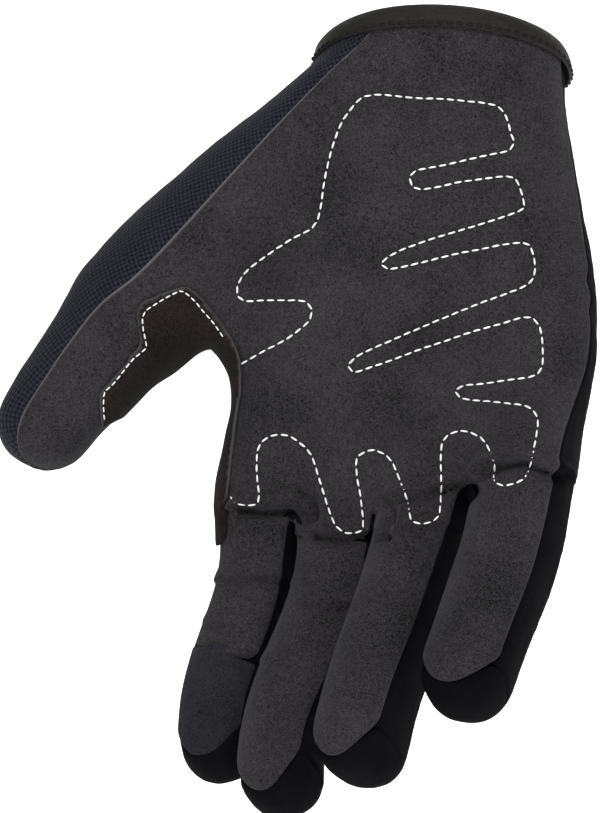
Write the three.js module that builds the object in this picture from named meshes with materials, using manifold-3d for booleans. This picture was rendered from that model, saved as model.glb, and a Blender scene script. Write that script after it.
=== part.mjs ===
// A motorcycle glove for the right hand, as it stands when it is worn: the palm faces -Y,
// the fingers point down, +Z goes up through the wrist opening and +X is the little finger's side.
// The origin is the middle of the wrist opening. Sizes are in millimetres and angles in degrees.
//
// The glove is one skin of rings. The rings run from the wrist opening to the fork of the thumb, from
// there to the roots of the fingers, and along the thumb and each finger to its tip. The skin is the inside
// of the glove. Each panel is a patch of it with a wall of its own outside it, cut back at its seams.
import * as THREE from "three";
import { mergeVertices } from "three/addons/utils/BufferGeometryUtils.js";
import Module from "manifold-3d";

// Hand.
const cuffWidth = 69;
const cuffDepth = 49;
const cuffFrontRise = 11.5; // the opening stands this much higher in the palm than at its sides
const cuffBackDrop = 5;
const cuffSideDrop = 4.5;
const cuffTilt = 3.3; // the opening falls this much to the little finger's side
const waistWidth = 71; // the narrowest place, just under the binding
const waistDepth = 45;
const waistDrop = 15;
const palmWidth = 110;
const palmDepth = 37;
const palmMiddleX = -10;
const palmMiddleY = -4;
const palmTurn = 9; // the little finger's side stands nearer to the palm's front
const palmForkDrop = 83; // from the opening to the row where the thumb leaves the palm
const handLength = 134; // from the opening to the root of the middle finger
const fingerLength = 90.5; // of the middle finger
const forkRise = 2.5; // how much the fork of the thumb is arched
const forkBow = 1; // how much the palm's edge draws back under the fork
const palmPower = 2.7; // 2 is an ellipse, more is boxier
const limbPower = 2.35;
const webShare = 0.9; // how far across a finger its front and back reach, the rest being its sides

// Walls and seams.
const suedeWall = 1.3;
const meshWall = 1.6;
const stretchWall = 1.0;
const patchWall = 1.1;
const patchLift = 0.3; // clearance between the patch and the panels under it
const tapeWall = 1.1;
const seamGap = 0.36;
const bindingHeight = 4.3; // below the panels' edge

// How finely the skin is divided.
const columnsPerFinger = 5;
const thumbColumns = 5;
const trunkRows = 12;
const palmRows = 8;
const limbRows = 9;
const tipRows = 4;
const thumbSeamColumn = 2; // the mesh ends and the suede begins here

// The thumb and the fingers. Lean is sideways, to the thumb's side, and flex is towards the palm. Each is
// given at the root, the middle and the tip. Roll turns the suede to the thumb's side. The thumb's root is
// at shares of the palm's width, depth and fork drop.
const thumb = {
  name: "thumb", width: 29.5, depth: 27, length: 60.8,
  root: { across: -0.747, front: 0.08, down: 0.847 },
  lean: [43.5, 38, 30], flex: [4, 10, 16], rootRoll: 0, roll: 14,
  rootGirth: 1.36, rootReach: 0.45, tipGirth: 0.86,
};

// The fingers. "wide", "deep" and "long" are shares of the palm's width, the palm's depth and the middle
// finger's length, and "down" is the root's drop as a share of the hand's length. A finger stands the sum of
// two half widths from the one before it, in a direction turned by "step" towards the palm's front.
const fingerShapes = [
  { name: "index", wide: 0.202, deep: 0.635, long: 0.893, step: 0, down: 0.981 },
  { name: "middle", wide: 0.201, deep: 0.676, long: 1, step: 22.5, down: 1 },
  { name: "ring", wide: 0.202, deep: 0.83, long: 0.932, step: 27, down: 0.97 },
  { name: "little", wide: 0.222, deep: 0.703, long: 0.82, step: 24.5, down: 0.91 },
];
const fingerBends = {
  index: { lean: [-4, 22.2, -10], flex: [2, 13, 30], rootRoll: 17, roll: 14 },
  middle: { lean: [4, 26, -7], flex: [10, 23, 38], rootRoll: 23, roll: 24 },
  ring: { lean: [10, 22.5, 10], flex: [16, 25, 30], rootRoll: 26, roll: 38 },
  little: { lean: [6, 23, 20], flex: [16, 28, 35], rootRoll: 28, roll: 34 },
};
// Girths and reaches along a finger: how thick its root is, how deep the fold over its root is, and how far
// its suede reaches over its tip, all as shares of its width, and how far its suede reaches to the little
// finger's side, as a share of half its width.
const fingerGirths = {
  index: { rootGirth: 1.08, rootReach: 0.22, tipGirth: 0.94, rootFold: 0.06, suedeReach: 0.1, suedeSide: 0.7 },
  middle: { rootGirth: 1.05, rootReach: 0.22, tipGirth: 0.94, rootFold: 0.06, suedeReach: 0.2, suedeSide: 0.82 },
  ring: { rootGirth: 1.05, rootReach: 0.22, tipGirth: 0.94, rootFold: 0.08, suedeReach: 0.2, suedeSide: 0.9 },
  little: { rootGirth: 1.15, rootReach: 0.22, tipGirth: 0.94, rootFold: 0.1, suedeReach: 0.18, suedeSide: 0.9 },
};
const fingers = fingerShapes.map(({ name, wide, deep, long, step, down }) => ({
  name, step,
  width: wide * palmWidth, depth: deep * palmDepth, length: long * fingerLength,
  rootDrop: down * handLength,
  ...fingerBends[name], ...fingerGirths[name],
}));
const fingerGap = 2.5;
const indexRootAcross = -0.47; // shares of the palm's width and depth
const indexRootBack = 0.054;
const touchStart = 0.55; // share of the index finger's length where its touch tip begins
const seamCornerRise = 5.5; // how much the end of a finger's suede is rounded at its two corners
const seamCornerPower = 2.8; // 2 is a parabola, more is flatter in the middle
const seamSlides = [0.35, 0.7, 1, 0.4, 0.1]; // how the rings before, at and after that end follow the curve
const tipRoundness = 0.5; // length of the round tip, as a share of the limb's width there
const jointShare = 0.46; // where the middle joint is, and how much it is thicker
const jointSwell = 0.015;

// Where the skin's columns lie across the wrist, from -1 at the thumb's side to 1 at the little finger's.
const wristFrontColumns = [
  { column: 0, across: -0.93 },
  { column: thumbSeamColumn, across: -0.58 },
  { column: thumbColumns, across: -0.42 },
  { column: thumbColumns + columnsPerFinger * fingers.length, across: 0.93 },
];
const wristBackColumns = [
  { column: 0, across: -0.93 },
  { column: thumbColumns, across: -0.66 },
  { column: thumbColumns + columnsPerFinger * fingers.length, across: 0.93 },
];
const thumbColumnAcross = [-0.9, -0.64, -0.3, 0.12, 0.54, 0.9];

// Pads and hollows of the hand that show through the glove. "across" and "down" are shares of the palm's
// width and fork drop from the middle of the opening, "wide" and "tall" are shares of the same two sizes,
// and "rise" is a share of the palm's depth. Side -1 is the palm's face and 1 is the back of the hand.
const pads = [
  { name: "ball of the thumb", side: -1, across: -0.36, down: 0.78, wide: 0.2, tall: 0.36, rise: 0.11 },
  { name: "heel of the hand", side: -1, across: 0.24, down: 0.68, wide: 0.15, tall: 0.46, rise: 0.08 },
  { name: "hollow of the palm", side: -1, across: -0.06, down: 1.06, wide: 0.17, tall: 0.3, rise: -0.1 },
  { name: "pad under the index", side: -1, across: -0.47, down: 1.42, wide: 0.1, tall: 0.13, rise: 0.05 },
  { name: "pad under the middle", side: -1, across: -0.26, down: 1.43, wide: 0.09, tall: 0.12, rise: 0.06 },
  { name: "pad under the ring", side: -1, across: -0.06, down: 1.4, wide: 0.09, tall: 0.12, rise: 0.08 },
  { name: "pad under the little", side: -1, across: 0.2, down: 1.34, wide: 0.12, tall: 0.13, rise: 0.1 },
  { name: "knuckle of the index", side: 1, across: -0.48, down: 1.5, wide: 0.09, tall: 0.14, rise: 0.07 },
  { name: "knuckle of the middle", side: 1, across: -0.25, down: 1.52, wide: 0.09, tall: 0.14, rise: 0.08 },
  { name: "knuckle of the ring", side: 1, across: -0.04, down: 1.48, wide: 0.09, tall: 0.14, rise: 0.07 },
  { name: "knuckle of the little", side: 1, across: 0.19, down: 1.38, wide: 0.09, tall: 0.14, rise: 0.06 },
];

// The patch over the fork of the thumb, as seen from the palm. "across" and "down" are shares of the palm's
// width and fork drop, from the fork. The last three corners close it through the open gap.
const patchOutline = [
  { across: -0.274, down: 0.315 },
  { across: -0.283, down: 0.2 },
  { across: -0.243, down: 0.136 },
  { across: -0.179, down: 0.021 },
  { across: -0.189, down: -0.073 },
  { across: -0.18, down: -0.111 },
  { across: -0.118, down: -0.151 },
  { across: -0.073, down: -0.17 },
  { across: -0.026, down: -0.131 },
  { across: 0.02, down: -0.063 },
  { across: 0.046, down: 0.004 },
  { across: 0.06, down: 0.07 },
  { across: 0.062, down: 0.14 },
  { across: 0.045, down: 0.285 },
  { across: 0.037, down: 0.49 },
  { across: 0.031, down: 0.69 },
  { across: -0.06, down: 0.7 },
  { across: -0.14, down: 0.5 },
  { across: -0.26, down: 0.34 },
];

const radians = THREE.MathUtils.degToRad;
const lerp = THREE.MathUtils.lerp;
const middleOf = (a, b) => a.clone().add(b).multiplyScalar(0.5);
const down = new THREE.Vector3(0, 0, -1);
const palmward = new THREE.Vector3(0, -1, 0);

// A value that is given at the root, the middle and the tip, at the share s of the way.
const along = ([root, middle, tip], s) =>
  s < 0.5 ? lerp(root, middle, THREE.MathUtils.smoothstep(s, 0, 0.5))
    : lerp(middle, tip, THREE.MathUtils.smoothstep(s, 0.5, 1));

// Where a column lies across a section, from a table of knots.
function acrossAt(knots, column) {
  const next = knots.findIndex((knot) => knot.column >= column);
  if (next === 0) return knots[0].across;
  const [a, b] = [knots[next - 1], knots[next]];
  return lerp(a.across, b.across, (column - a.column) / (b.column - a.column));
}

// Rings. A ring has a front and a back row of points, both from the thumb's side to the little finger's, and
// one point at each side. "across" holds the columns' places, one list for the front and one for the back.
function ring(frame, width, depth, power, across) {
  const place = (u, side) => frame.centre.clone()
    .addScaledVector(frame.across, (u * width) / 2)
    .addScaledVector(frame.front, (side * depth * (1 - Math.abs(u) ** power) ** (1 / power)) / 2);
  return {
    front: across.front.map((u) => place(u, 1)),
    back: across.back.map((u) => place(u, -1)),
    left: place(-1, 0),
    right: place(1, 0),
  };
}

const loopOf = (r) => [...r.front, r.right, ...[...r.back].reverse(), r.left];
const ringOf = (loop, columns) => ({
  front: loop.slice(0, columns + 1),
  right: loop[columns + 1],
  back: loop.slice(columns + 2, 2 * columns + 3).reverse(),
  left: loop[2 * columns + 3],
});

// Joins rings that stand side by side: neighbours share the points of the web between them.
function fuse(rings) {
  for (let i = 1; i < rings.length; i++) {
    const [a, b] = [rings[i - 1], rings[i]];
    const last = a.front.length - 1;
    a.front[last] = b.front[0] = middleOf(a.front[last], b.front[0]);
    a.back[last] = b.back[0] = middleOf(a.back[last], b.back[0]);
    a.right = b.left = middleOf(a.right, b.left);
  }
  const row = (side) => rings.flatMap((r, i) => (i ? r[side].slice(1) : r[side]));
  return { front: row("front"), back: row("back"), left: rings[0].left, right: rings.at(-1).right };
}

// Rings between two rings, each point on a cubic that leaves one way and arrives another.
function ringsBetween(from, to, columns, rows, leave, arrive) {
  const [a, b] = [loopOf(from), loopOf(to)];
  const rings = [];
  for (let row = 1; row < rows; row++) {
    const t = row / rows;
    const loop = a.map((start, i) => {
      const end = b[i];
      const reach = start.distanceTo(end);
      return new THREE.Vector3()
        .addScaledVector(start, 2 * t ** 3 - 3 * t ** 2 + 1)
        .addScaledVector(leave(start, end, i), reach * (t ** 3 - 2 * t ** 2 + t))
        .addScaledVector(end, -2 * t ** 3 + 3 * t ** 2)
        .addScaledVector(arrive(i), reach * (t ** 3 - t ** 2));
    });
    rings.push(ringOf(loop, columns));
  }
  return rings;
}

// The faces of the skin. Each has its corners and the name of its panel.
const skin = [];
function joinRings(above, below, panelOf) {
  const [a, b] = [loopOf(above), loopOf(below)];
  a.forEach((point, i) => {
    const next = (i + 1) % a.length;
    skin.push({ corners: [point, b[i], b[next], a[next]], panel: panelOf(i) });
  });
}
function closeTip(last, tip, panelOf) {
  const loop = loopOf(last);
  loop.forEach((point, i) => {
    skin.push({ corners: [point, tip, loop[(i + 1) % loop.length]], panel: panelOf(i) });
  });
}

// Where the middle line of a limb is and how it is turned, at a share of its length.
function limbFrame(limb, root, share) {
  const directionAt = (s) => {
    const [lean, flex] = [radians(along(limb.lean, s)), radians(along(limb.flex, s))];
    return new THREE.Vector3(
      -Math.sin(lean) * Math.cos(flex), -Math.sin(flex), -Math.cos(lean) * Math.cos(flex));
  };
  const steps = Math.max(1, Math.ceil(share * 40));
  const centre = root.clone();
  for (let i = 0; i < steps; i++) {
    centre.addScaledVector(directionAt(((i + 0.5) / steps) * share), (share / steps) * limb.length);
  }
  const direction = directionAt(share);
  const front = palmward.clone().addScaledVector(direction, -palmward.dot(direction)).normalize();
  const rolled = THREE.MathUtils.smoothstep(share, 0, 0.35);
  front.applyAxisAngle(direction, radians(lerp(limb.rootRoll, limb.roll, rolled)));
  return { centre, direction, front, across: front.clone().cross(direction) };
}

// How thick a limb is at a share of its length, in shares of its width and depth.
const tipStartOf = (limb) => 1 - (tipRoundness * limb.width * limb.tipGirth) / limb.length;
function girthAt(limb, s) {
  const tipStart = tipStartOf(limb);
  const girth = s < limb.rootReach
    ? lerp(limb.rootGirth, 1, THREE.MathUtils.smoothstep(s, 0, limb.rootReach))
    : lerp(1, limb.tipGirth, THREE.MathUtils.smoothstep(s, limb.rootReach, tipStart));
  const joint = 1 + jointSwell * Math.exp(-(((s - jointShare) / 0.1) ** 2));
  const round = s <= tipStart ? 1 : (1 - ((s - tipStart) / (1 - tipStart)) ** 2.3) ** (1 / 2.3);
  return girth * joint * round;
}

// Shares of the length at which a limb has its rings: even along it, then closer round its tip.
function limbShares(limb) {
  const tipStart = tipStartOf(limb);
  const straight = Array.from({ length: limbRows + 1 }, (_, i) => (tipStart * i) / limbRows);
  const round = Array.from({ length: tipRows }, (_, i) =>
    lerp(tipStart, 1, Math.sin(((i + 1) / tipRows) * (Math.PI / 2))));
  return [...straight, ...round];
}

// The rings of a limb and the point of its tip. The suede ends in a curve: near its end the points in the
// middle of the front lie further along the limb, and those at its corners lie further back.
function limbRings(limb, root, across) {
  const shares = limbShares(limb);
  const seamRing = limbRows + 1;
  const slides = seamSlides.map((share, i) => ({ ring: seamRing - 2 + i, share }));
  const place = (ringIndex, slide, u, side) => {
    const slideShare = slides.find((entry) => entry.ring === ringIndex)?.share ?? 0;
    const s = shares[ringIndex] + (slideShare * slide) / limb.length;
    const frame = limbFrame(limb, root, s);
    const girth = girthAt(limb, s);
    const bulge = (1 - Math.abs(u) ** limbPower) ** (1 / limbPower);
    return frame.centre.addScaledVector(frame.across, (u * limb.width * girth) / 2)
      .addScaledVector(frame.front, (side * limb.depth * girth * bulge) / 2);
  };
  const sewn = limb.suedeReach !== undefined;
  const sideSlide = sewn ? -seamCornerRise / 2 : 0;
  const frontSlide = (j) => {
    const corner = Math.abs((2 * j) / (across.front.length - 1) - 1) ** seamCornerPower;
    return sewn ? lerp(limb.suedeReach * limb.width, -seamCornerRise, corner) : 0;
  };
  const rings = shares.slice(0, -1).map((_, i) => ({
    front: across.front.map((u, j) => place(i, frontSlide(j), u, 1)),
    back: across.back.map((u) => place(i, 0, u, -1)),
    left: place(i, sideSlide, -1, 0),
    right: place(i, sideSlide, 1, 0),
  }));
  return { rings, tip: limbFrame(limb, root, 1).centre, direction: limbFrame(limb, root, 0).direction };
}

// Wrist. The opening is high in the palm and lower at the back, and evens out below the binding.
const acrossAll = (knots) =>
  Array.from({ length: knots.at(-1).column + 1 }, (_, i) => acrossAt(knots, i));
const wristAcross = { front: acrossAll(wristFrontColumns), back: acrossAll(wristBackColumns) };
const trunkColumns = wristAcross.front.length - 1;
const palmColumns = trunkColumns - thumbColumns;
const level = (x, y, z) => ({
  centre: new THREE.Vector3(x, y, z),
  across: new THREE.Vector3(1, 0, 0),
  front: palmward.clone(),
});
const openingRise = (point) => {
  const share = -point.y / (cuffDepth / 2);
  const tilt = -point.x * Math.tan(radians(cuffTilt));
  return tilt + (share > 0 ? cuffFrontRise * share : cuffBackDrop * share);
};
const opening = ring(level(0, 0, -cuffSideDrop), cuffWidth, cuffDepth, 2, wristAcross);
loopOf(opening).forEach((point) => { point.z += openingRise(point); });
const waist = ring(level(-1, 0, -waistDrop), waistWidth, waistDepth, 2.1, wristAcross);
loopOf(waist).forEach((point) => { point.z += 0.55 * openingRise(point); });
// The ring under the binding lies straight below the opening, so that the binding sits flat on it.
const underBinding = ringOf(loopOf(opening).map((point, i) => {
  const lower = loopOf(waist)[i];
  return point.clone().lerp(lower, (bindingHeight + 1.2) / point.distanceTo(lower));
}), trunkColumns);

// Fingers, each placed from the one before it.
const fingerAcross = (edge) => Array.from({ length: columnsPerFinger + 1 }, (_, i) =>
  Math.sin(lerp(-Math.asin(webShare), Math.asin(edge), i / columnsPerFinger)));
const roots = [
  new THREE.Vector3(indexRootAcross * palmWidth, indexRootBack * palmDepth, -fingers[0].rootDrop),
];
fingers.slice(1).forEach((finger, i) => {
  const before = fingers[i];
  const spacing = (before.width * before.rootGirth + finger.width * finger.rootGirth) / 2 + fingerGap;
  const turn = radians(finger.step);
  roots.push(new THREE.Vector3(
    roots[i].x + spacing * Math.cos(turn), roots[i].y - spacing * Math.sin(turn), -finger.rootDrop));
});
const fingerLimbs = fingers.map((finger, i) =>
  limbRings(finger, roots[i], { front: fingerAcross(finger.suedeSide), back: fingerAcross(webShare) }));
const knuckles = fuse(fingerLimbs.map(({ rings }) => rings[0]));

// Thumb, and the palm beside its fork.
const thumbRoot = new THREE.Vector3(
  thumb.root.across * palmWidth, -thumb.root.front * palmDepth, -thumb.root.down * palmForkDrop);
const thumbLimb = limbRings(thumb, thumbRoot, { front: thumbColumnAcross, back: thumbColumnAcross });
const palmAcross = Array.from({ length: palmColumns + 1 }, (_, i) => lerp(-0.95, 0.95, i / palmColumns));
const palmLevel = level(palmMiddleX, palmMiddleY, -palmForkDrop);
palmLevel.across.applyAxisAngle(down, radians(palmTurn));
palmLevel.front.applyAxisAngle(down, radians(palmTurn));
const palmRing = ring(palmLevel, palmWidth, palmDepth, palmPower, { front: palmAcross, back: palmAcross });
const fork = fuse([thumbLimb.rings[0], palmRing]);
const forkPoint = thumbLimb.rings[0].right;
forkPoint.z += forkRise;
[palmRing.front[0], palmRing.back[0]].forEach((point) => { point.z += forkRise / 2; });

// Skin, from the opening to the tips. The loop's order is front, right side, back, left side.
const trunkPanel = (i) => {
  if (i >= thumbSeamColumn && i < trunkColumns) return "palm_panel";
  return i === trunkColumns || i === trunkColumns + 1 ? "side_panel" : "back_panel";
};
const palmPanel = (i) => {
  if (i < palmColumns || i === 2 * palmColumns + 3) return "palm_panel";
  return i <= palmColumns + 1 ? "side_panel" : "back_panel";
};
const thumbPanel = (i) => (i >= thumbSeamColumn && i <= thumbColumns + 1 ? "palm_panel" : "back_panel");
const fingerPanel = (finger, row) => (i) => {
  const name = fingers[finger].name;
  if (row > limbRows) return `finger_back_${name}`;
  if (i < columnsPerFinger) {
    return finger === 0 && limbShares(fingers[0])[row] >= touchStart ? "index_touch_tip" : "palm_panel";
  }
  const rightSide = i <= columnsPerFinger + 1;
  const leftSide = i > 2 * columnsPerFinger + 1;
  if (rightSide) return finger < fingers.length - 1 ? `fourchette_${name}` : "side_panel";
  if (leftSide && finger > 0) return `fourchette_${fingers[finger - 1].name}`;
  return `finger_back_${name}`;
};

const trunkLoopLength = 2 * trunkColumns + 4;
const thumbReach = (i) => {
  const column = i <= trunkColumns ? i : trunkLoopLength - 2 - i;
  return 1 - THREE.MathUtils.smoothstep(column, thumbColumns - 2, thumbColumns + 6);
};
const leaveWrist = (start, end, i) => {
  const straight = end.clone().sub(start).normalize();
  const outside = new THREE.Vector3(-1, 0, -0.72).normalize();
  return straight.lerp(down, 0.3 * (1 - thumbReach(i))).lerp(outside, 0.9 * edgeReach(i)).normalize();
};
const edgeReach = (i) => {
  const column = i <= trunkColumns ? i : trunkLoopLength - 2 - i;
  return 1 - THREE.MathUtils.smoothstep(column, -1, thumbColumns);
};
const arriveFork = (i) => down.clone().lerp(thumbLimb.direction, Math.min(1, thumbReach(i))).normalize();
const trunk = [opening, underBinding,
  ...ringsBetween(underBinding, fork, trunkColumns, trunkRows - 1, leaveWrist, arriveFork), fork];
trunk.slice(1).forEach((below, i) => joinRings(trunk[i], below, trunkPanel));

const fingerWard = (i) => {
  const column = i <= palmColumns ? i : 2 * palmColumns + 2 - i;
  const finger = Math.min(fingers.length - 1, Math.max(0, Math.floor(column / columnsPerFinger)));
  return fingerLimbs[finger].direction;
};
const leaveFork = (start, end, i) => {
  const column = i <= palmColumns + 1 ? i : Math.max(0, 2 * palmColumns + 2 - i);
  const bow = forkBow * (1 - THREE.MathUtils.smoothstep(column, 0, columnsPerFinger));
  return down.clone().addScaledVector(palmLevel.across, bow);
};
const palm = [palmRing,
  ...ringsBetween(palmRing, knuckles, palmColumns, palmRows, leaveFork, fingerWard), knuckles];
palm.slice(1).forEach((below, i) => joinRings(palm[i], below, palmPanel));

thumbLimb.rings.slice(1).forEach((below, i) => joinRings(thumbLimb.rings[i], below, thumbPanel));
closeTip(thumbLimb.rings.at(-1), thumbLimb.tip, thumbPanel);
fingerLimbs.forEach(({ rings, tip }, finger) => {
  rings.slice(1).forEach((below, row) => joinRings(rings[row], below, fingerPanel(finger, row)));
  closeTip(rings.at(-1), tip, fingerPanel(finger, limbRows + 1));
});

// Neighbours of each point, for smoothing, and pads.
const skinPoints = [...new Set(skin.flatMap((face) => face.corners))];
skinPoints.forEach((point, i) => { point.index = i; });
const neighbours = skinPoints.map(() => new Set());
skin.forEach(({ corners }) => corners.forEach((point, i) => {
  const next = corners[(i + 1) % corners.length];
  neighbours[point.index].add(next);
  neighbours[next.index].add(point);
}));
const fixedPoints = new Set([...loopOf(opening), ...loopOf(underBinding)]);
const limbShift = new Set([thumbLimb, ...fingerLimbs].flatMap(({ rings, tip }) =>
  [tip, ...rings.slice(2).flatMap(loopOf)]));

function relax(rounds, share) {
  for (let round = 0; round < rounds; round++) {
    const moved = skinPoints.map((point) => {
      if (fixedPoints.has(point) || limbShift.has(point)) return point.clone();
      const mean = new THREE.Vector3();
      neighbours[point.index].forEach((other) => mean.add(other));
      return point.clone().lerp(mean.divideScalar(neighbours[point.index].size), share);
    });
    skinPoints.forEach((point, i) => point.copy(moved[i]));
  }
}

function raisePads() {
  const side = new Map([...trunk, ...palm].flatMap((r) =>
    [...r.front.map((point) => [point, -1]), ...r.back.map((point) => [point, 1])]));
  skinPoints.forEach((point) => {
    const facing = side.get(point) ?? 0;
    let rise = 0;
    for (const pad of pads) {
      if (pad.side !== facing) continue;
      const across = (point.x / palmWidth - pad.across) / pad.wide;
      const fall = (-point.z / palmForkDrop - pad.down) / pad.tall;
      rise += pad.rise * palmDepth * Math.exp(-(across ** 2) - fall ** 2);
    }
    if (!fixedPoints.has(point)) point.y += facing * rise;
  });
}
relax(3, 0.4);
raisePads();
// The fold at the root of each finger.
fingerLimbs.forEach(({ rings }, i) => rings[0].front.slice(1, -1).forEach((point) => {
  point.y += fingers[i].rootFold * fingers[i].depth;
}));

// Outward directions of the skin at its points.
const outward = skinPoints.map(() => new THREE.Vector3());
skin.forEach(({ corners }) => {
  const [a, b, c] = corners;
  const d = corners[3] ?? a;
  const normal = c.clone().sub(a).cross(d.clone().sub(b)).normalize();
  corners.forEach((point) => outward[point.index].add(normal));
});
outward.forEach((direction) => direction.normalize());
// In a fold the way along that direction is longer, for the same distance from the faces beside it.
const largestStretch = 1.4;
const stretchOf = skinPoints.map(() => 1);
skin.forEach(({ corners }) => corners.forEach((point, i) => {
  const next = corners[(i + 1) % corners.length];
  const last = corners[(i + corners.length - 1) % corners.length];
  const normal = next.clone().sub(point).cross(last.clone().sub(point)).normalize();
  const share = Math.max(0.45, normal.dot(outward[point.index]));
  stretchOf[point.index] = Math.max(stretchOf[point.index], 1 / share);
}));

// A solid of some faces of the skin, from the height "low" to the height "high" over it. Its edges are cut
// back by half a seam's gap.
function thicken(faces, low, high, edgeGap) {
  const edges = new Map();
  const used = new Set();
  faces.forEach(({ corners }) => corners.forEach((point, i) => {
    const next = corners[(i + 1) % corners.length];
    const back = `${next.index} ${point.index}`;
    used.add(point);
    if (edges.has(back)) edges.delete(back);
    else edges.set(`${point.index} ${next.index}`, [point, next]);
  }));
  const before = new Map([...edges.values()].map(([a, b]) => [b, a]));
  const shift = new Map();
  edges.forEach(([point, next]) => {
    const normal = outward[point.index];
    const inwardOf = (from, to) => normal.clone().cross(to.clone().sub(from)).normalize();
    const beside = inwardOf(before.get(point), point);
    const middle = beside.clone().add(inwardOf(point, next)).normalize();
    const share = Math.max(0.25, middle.dot(beside));
    shift.set(point, middle.multiplyScalar(edgeGap / 2 / share));
  });

  const vertices = [];
  const triangles = [];
  const place = new Map();
  used.forEach((point) => {
    const foot = point.clone().add(shift.get(point) ?? new THREE.Vector3());
    place.set(point, vertices.length / 3);
    for (const height of [high, low]) {
      const stretched = height * Math.min(stretchOf[point.index], largestStretch);
      vertices.push(...foot.clone().addScaledVector(outward[point.index], stretched).toArray());
    }
  });
  const top = (point) => place.get(point);
  const bottom = (point) => place.get(point) + 1;
  const triangle = (a, b, c, side) => triangles.push(side(a), side(c), side(b));
  faces.forEach(({ corners }) => {
    const [a, b, c, d] = corners;
    if (!d) {
      triangle(a, c, b, top);
      triangle(a, b, c, bottom);
      return;
    }
    const [p, q, r, s] = a.distanceTo(c) < b.distanceTo(d) ? [a, b, c, d] : [b, c, d, a];
    triangle(p, r, q, top);
    triangle(p, s, r, top);
    triangle(p, q, r, bottom);
    triangle(p, r, s, bottom);
  });
  // Both panels at a seam have their edge faces split along the same diagonal, so that a twisted seam
  // stays open.
  edges.forEach(([a, b]) => {
    if (a.index < b.index) triangles.push(top(a), bottom(b), top(b), top(a), bottom(a), bottom(b));
    else triangles.push(top(a), bottom(a), top(b), top(b), bottom(a), bottom(b));
  });
  const geometry = new THREE.BufferGeometry();
  geometry.setAttribute("position", new THREE.Float32BufferAttribute(vertices, 3));
  geometry.setIndex(triangles);
  return geometry;
}

// The tape that is folded over the opening's edge, as a U in section all round the opening.
function cuffBinding() {
  const deepest = Math.max(suedeWall, meshWall, stretchWall);
  const clear = seamGap;
  const section = [
    { out: -clear, fall: bindingHeight },
    { out: -clear - tapeWall, fall: bindingHeight },
    { out: -clear - tapeWall, fall: 0 },
    { out: deepest / 2, fall: -clear - 2 * tapeWall },
    { out: deepest + clear + tapeWall, fall: 0 },
    { out: deepest + clear + tapeWall * 1.25, fall: bindingHeight / 2 },
    { out: deepest + clear + tapeWall, fall: bindingHeight },
    { out: deepest + clear, fall: bindingHeight },
    { out: deepest + clear, fall: -clear },
    { out: -clear, fall: -clear },
  ];
  const loop = loopOf(opening);
  const lower = loopOf(underBinding);
  const vertices = loop.flatMap((point, i) => {
    const fall = lower[i].clone().sub(point).normalize();
    const out = outward[point.index].clone();
    out.addScaledVector(fall, -out.dot(fall)).normalize();
    return section.flatMap((corner) => point.clone()
      .addScaledVector(out, corner.out).addScaledVector(fall, corner.fall).toArray());
  });
  const triangles = [];
  loop.forEach((_, i) => section.forEach((__, j) => {
    const next = (i + 1) % loop.length;
    const beside = (j + 1) % section.length;
    const at = (m, n) => m * section.length + n;
    const [a, b, c, d] = [at(i, j), at(next, j), at(next, beside), at(i, beside)];
    triangles.push(a, c, b, a, d, c);
  }));
  const geometry = new THREE.BufferGeometry();
  geometry.setAttribute("position", new THREE.Float32BufferAttribute(vertices, 3));
  geometry.setIndex(triangles);
  return geometry;
}

// Booleans.
const wasm = await Module();
wasm.setup();
function solidOf(geometry) {
  const bare = new THREE.BufferGeometry().setAttribute("position", geometry.getAttribute("position"));
  if (geometry.index) bare.setIndex(geometry.index);
  const merged = mergeVertices(bare, 1e-4);
  return new wasm.Manifold(new wasm.Mesh({
    numProp: 3,
    vertProperties: new Float32Array(merged.attributes.position.array),
    triVerts: new Uint32Array(merged.index.array),
  }));
}
function geometryOf(solid) {
  const mesh = solid.getMesh();
  const geometry = new THREE.BufferGeometry();
  geometry.setAttribute("position", new THREE.Float32BufferAttribute(mesh.vertProperties, 3));
  geometry.setIndex([...mesh.triVerts]);
  return geometry;
}

// The patch over the fork lies on the skin of the thumb, the palm and the index finger's side.
function forkPatch() {
  const near = new Set([
    ...thumbLimb.rings.slice(0, 9).flatMap((r) => [...r.front.slice(1), r.right, ...r.back.slice(1)]),
    ...trunk.slice(-6).flatMap((r) => [...r.front.slice(1, 10), ...r.back.slice(1, 10)]),
    ...palm.flatMap((r) => [...r.front.slice(0, 3), r.left, ...r.back.slice(0, 3)]),
    ...fingerLimbs[0].rings.slice(0, 5)
      .flatMap((r) => [...r.front.slice(0, 3), r.left, ...r.back.slice(0, 3)]),
  ]);
  const faces = skin.filter(({ corners }) => corners.every((point) => near.has(point)));
  const base = Math.max(suedeWall, meshWall) + patchLift;
  const cover = solidOf(thicken(faces, base, base + patchWall, 0));
  const corner = ({ across, down: fall }) =>
    new THREE.Vector2(forkPoint.x + across * palmWidth, forkPoint.z - fall * palmForkDrop);
  const outline = new THREE.Shape(patchOutline.map(corner));
  const prism = new THREE.ExtrudeGeometry(outline, { depth: 4 * palmDepth, bevelEnabled: false });
  prism.rotateX(Math.PI / 2);
  prism.translate(0, 2 * palmDepth, 0);
  const bodies = cover.intersect(solidOf(prism)).decompose();
  return geometryOf(bodies.reduce((a, b) => (a.volume() > b.volume() ? a : b)));
}

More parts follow.
